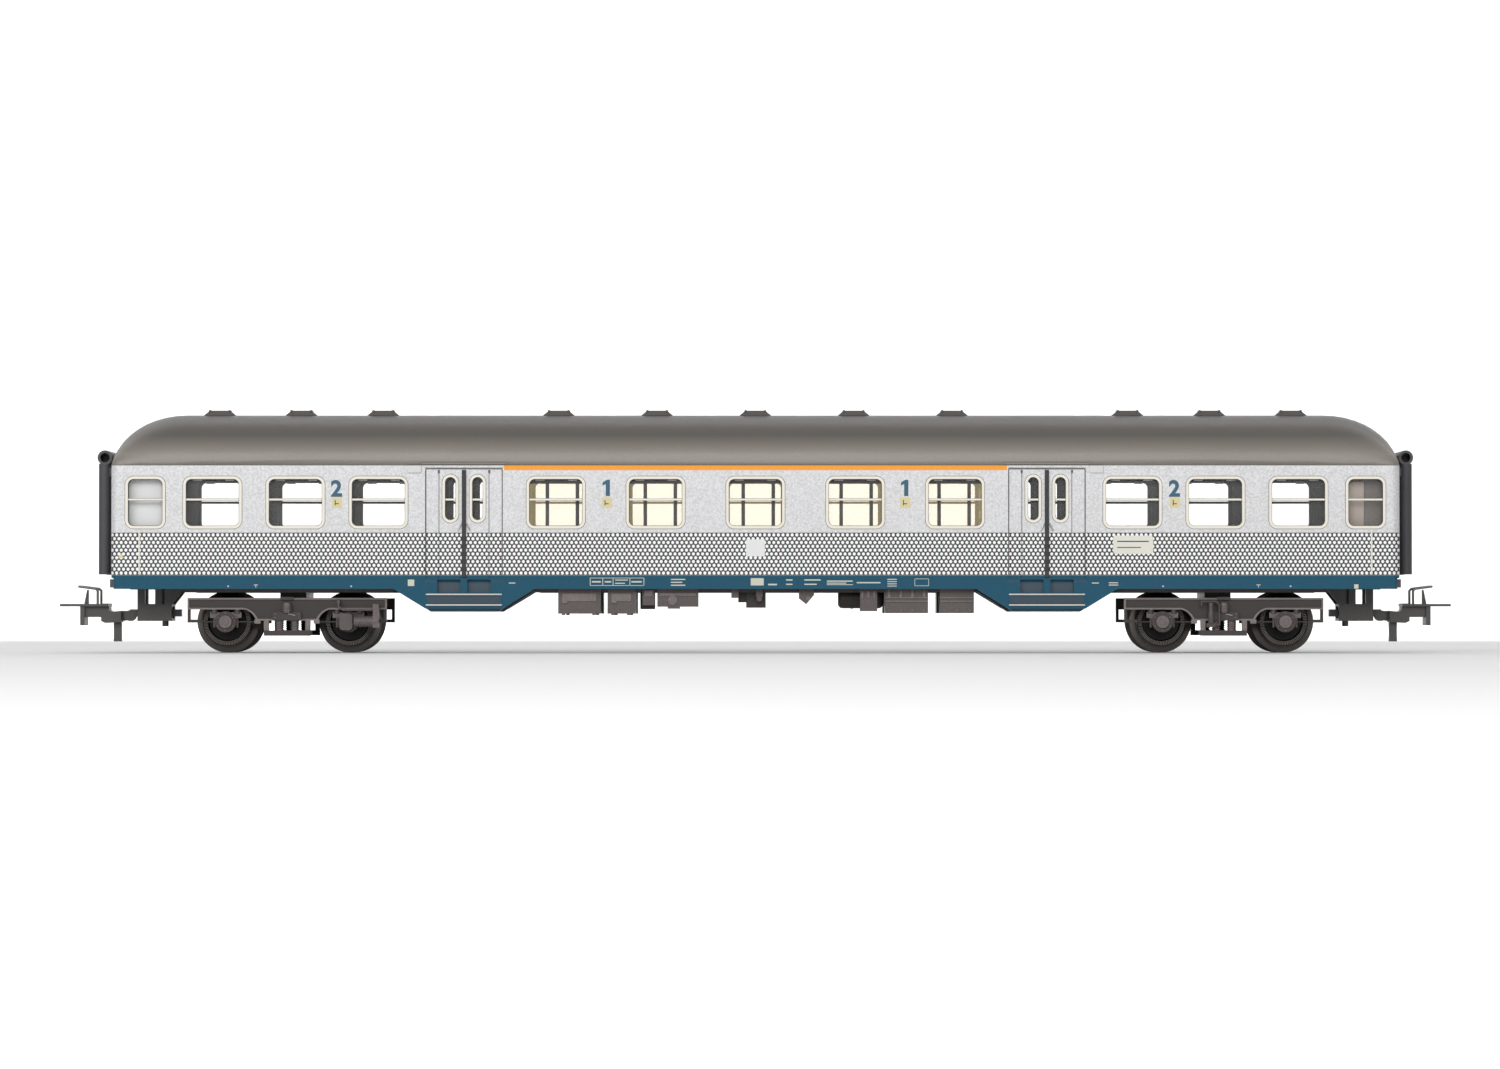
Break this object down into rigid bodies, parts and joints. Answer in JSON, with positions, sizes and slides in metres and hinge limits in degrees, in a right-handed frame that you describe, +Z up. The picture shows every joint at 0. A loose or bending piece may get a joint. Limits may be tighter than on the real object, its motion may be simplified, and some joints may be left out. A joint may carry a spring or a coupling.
{
  "type": "model passenger coach",
  "caption": "Scale model bogie passenger coach with close couplers, turning bogies, rolling wheelsets, gangways, glazed windows and fitted interior",
  "frame": {"origin": "under the middle of the coach, at the lowest point of the wheel flanges", "axes": "+X towards the front along the coach, +Y to the left, +Z up"},
  "size_m": [0.2846, 0.0332, 0.0497],
  "materials": {
    "silver_paint": "satin silver grain paint over plastic",
    "roof_paint": "matt brown-grey",
    "cream_plastic": "satin cream",
    "clear_plastic": "clear, polished",
    "black_rubber": "matt black",
    "blue_plastic": "satin ocean blue",
    "dark_plastic": "matt brown-black",
    "grey_plastic": "matt dark grey",
    "seat_brown": "matt brown",
    "seat_cream": "matt cream",
    "steel": "bright",
    "blackened_steel": "blackened, bright rim",
    "sign_white": "satin pale grey"
  },
  "bodies": {
    "coach": {"air_tank": "dark_plastic", "ballast_plate": "steel", "battery_boxes": "dark_plastic", "body_shell": "silver_paint", "brake_unit": "dark_plastic", "brake_valve": "dark_plastic", "chassis_plate": "dark_plastic", "converter_box": "dark_plastic", "corridor_wall": "grey_plastic", "coupler_guide_front": "dark_plastic", "coupler_guide_rear": "dark_plastic", "destination_boxes": "sign_white", "door_seals": "black_rubber", "end_doors": "grey_plastic", "floor": "grey_plastic", "gangway_front": "black_rubber", "gangway_rear": "black_rubber", "glazing_left": "clear_plastic", "glazing_right": "clear_plastic", "handrails": "cream_plastic", "hanger_bracket": "dark_plastic", "headstocks": "dark_plastic", "lockers": "dark_plastic", "partitions": "grey_plastic", "pivot_screws": "steel", "rain_gutters": "roof_paint", "relay_box": "dark_plastic", "roof": "roof_paint", "roof_vents": "roof_paint", "seats_first": "seat_cream", "seats_second": "seat_brown", "step_boxes": "dark_plastic", "step_treads": "sign_white", "underframe": "blue_plastic", "valve_box": "dark_plastic", "window_frames_left": "cream_plastic", "window_frames_right": "cream_plastic"},
    "wheelset_1": {"axle_1": "steel", "wheels_1": "blackened_steel"},
    "wheelset_2": {"axle_2": "steel", "wheels_2": "blackened_steel"},
    "wheelset_3": {"axle_3": "steel", "wheels_3": "blackened_steel"},
    "wheelset_4": {"axle_4": "steel", "wheels_4": "blackened_steel"},
    "bogie_front": {"bogie_frame_front": "dark_plastic", "damper": "dark_plastic", "spring_plank_front": "dark_plastic"},
    "bogie_rear": {"bogie_frame_rear": "dark_plastic", "generator": "dark_plastic", "spring_plank_rear": "dark_plastic"},
    "head_front": {"coupler_head_front": "dark_plastic", "coupler_loop_front": "dark_plastic"},
    "head_rear": {"coupler_head_rear": "dark_plastic", "coupler_loop_rear": "dark_plastic"},
    "shank_front": {"coupler_shank_front": "dark_plastic", "coupler_spring_front": "steel"},
    "shank_rear": {"coupler_shank_rear": "dark_plastic", "coupler_spring_rear": "steel"}
  },
  "joints": [
    {"name": "bogie_front_swivel", "type": "hinge", "parent": "coach", "child": "bogie_front", "pos_m": [0.095, 0, 0.01065], "axis": [0, 0, 1], "range_deg": [-16, 16]},
    {"name": "bogie_rear_swivel", "type": "hinge", "parent": "coach", "child": "bogie_rear", "pos_m": [-0.095, 0, 0.01065], "axis": [0, 0, 1], "range_deg": [-16, 16]},
    {"name": "wheelset_1_spin", "type": "hinge", "parent": "bogie_rear", "child": "wheelset_1", "pos_m": [-0.10745, 0, 0.0063], "axis": [0, 1, 0], "continuous": true},
    {"name": "wheelset_2_spin", "type": "hinge", "parent": "bogie_rear", "child": "wheelset_2", "pos_m": [-0.08255, 0, 0.0063], "axis": [0, 1, 0], "continuous": true},
    {"name": "wheelset_3_spin", "type": "hinge", "parent": "bogie_front", "child": "wheelset_3", "pos_m": [0.08255, 0, 0.0063], "axis": [0, 1, 0], "continuous": true},
    {"name": "wheelset_4_spin", "type": "hinge", "parent": "bogie_front", "child": "wheelset_4", "pos_m": [0.10745, 0, 0.0063], "axis": [0, 1, 0], "continuous": true},
    {"name": "coupler_front_swing", "type": "hinge", "parent": "coach", "child": "shank_front", "pos_m": [0.12105, 0, 0.00805], "axis": [0, 0, 1], "range_deg": [-15, 15], "stiffness_Nm_per_rad": 0.0002},
    {"name": "coupler_front_lift", "type": "hinge", "parent": "shank_front", "child": "head_front", "pos_m": [0.1282, 0, 0.00755], "axis": [0, -1, 0], "range_deg": [0, 12], "stiffness_Nm_per_rad": 0.0003},
    {"name": "coupler_rear_swing", "type": "hinge", "parent": "coach", "child": "shank_rear", "pos_m": [-0.12105, 0, 0.00805], "axis": [0, 0, 1], "range_deg": [-15, 15], "stiffness_Nm_per_rad": 0.0002},
    {"name": "coupler_rear_lift", "type": "hinge", "parent": "shank_rear", "child": "head_rear", "pos_m": [-0.1282, 0, 0.00755], "axis": [0, 1, 0], "range_deg": [0, 12], "stiffness_Nm_per_rad": 0.0003}
  ]
}
